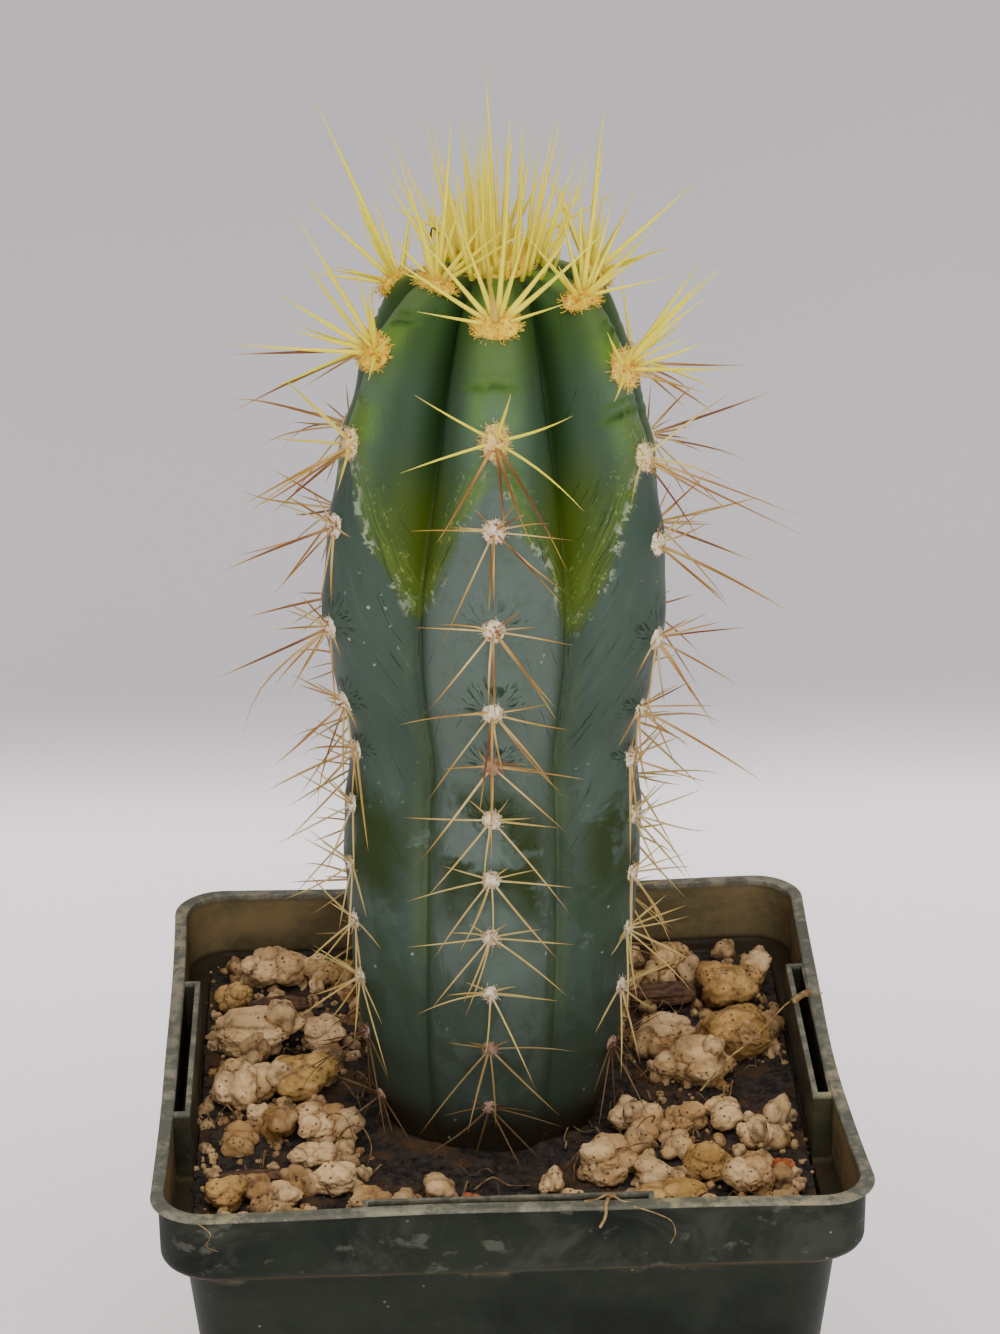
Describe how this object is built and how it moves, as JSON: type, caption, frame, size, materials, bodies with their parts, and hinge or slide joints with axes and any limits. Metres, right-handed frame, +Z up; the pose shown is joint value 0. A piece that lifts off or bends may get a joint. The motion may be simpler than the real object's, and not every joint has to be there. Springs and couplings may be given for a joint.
{
  "type": "potted columnar cactus",
  "caption": "Ribbed upright cactus with spine clusters down its ribs, in soil dressed with pumice, in a square plastic nursery pot with a collar and label pockets.",
  "frame": {"origin": "middle of the pot's base, on the surface that it stands on", "axes": "+Z up along the stem; the front rib faces -Y; X and Y run square to the pot's sides"},
  "size_m": [0.09, 0.09, 0.2149],
  "materials": {
    "pot_plastic": "satin",
    "soil": "matte",
    "stem_skin": "satin",
    "spines": "satin",
    "pumice": "matte",
    "ochre": "matte",
    "lava": "matte",
    "bark": "matte"
  },
  "bodies": {
    "root": {"pot": "pot_plastic", "soil": "soil", "stem": "stem_skin", "crown_spines": "spines", "spines_rib_1": "spines", "spines_rib_2": "spines", "spines_rib_3": "spines", "spines_rib_4": "spines", "spines_rib_5": "spines", "spines_rib_6": "spines", "stone_01": "pumice", "stone_02": "ochre", "stone_03": "pumice", "bark_chip_04": "bark", "stone_05": "pumice", "stone_06": "pumice", "stone_07": "pumice", "stone_08": "ochre", "stone_09": "pumice", "stone_10": "ochre", "stone_11": "pumice", "stone_12": "pumice", "bark_chip_13": "bark", "stone_14": "ochre", "stone_15": "pumice", "stone_16": "pumice", "stone_17": "pumice", "stone_18": "ochre", "stone_19": "pumice", "stone_20": "pumice", "stone_21": "pumice", "stone_22": "lava", "stone_23": "pumice", "stone_24": "pumice", "stone_25": "pumice", "stone_26": "pumice", "stone_27": "pumice", "stone_28": "pumice", "stone_29": "pumice", "stone_30": "pumice", "stone_31": "pumice", "stone_32": "ochre", "stone_33": "ochre", "stone_34": "pumice", "stone_35": "pumice", "stone_36": "pumice", "stone_37": "lava", "stone_38": "pumice", "stone_39": "ochre", "stone_40": "pumice", "stone_41": "ochre", "bark_chip_42": "bark", "stone_43": "pumice", "stone_44": "pumice", "stone_45": "ochre", "stone_46": "pumice", "stone_47": "pumice"}
  },
  "joints": []
}
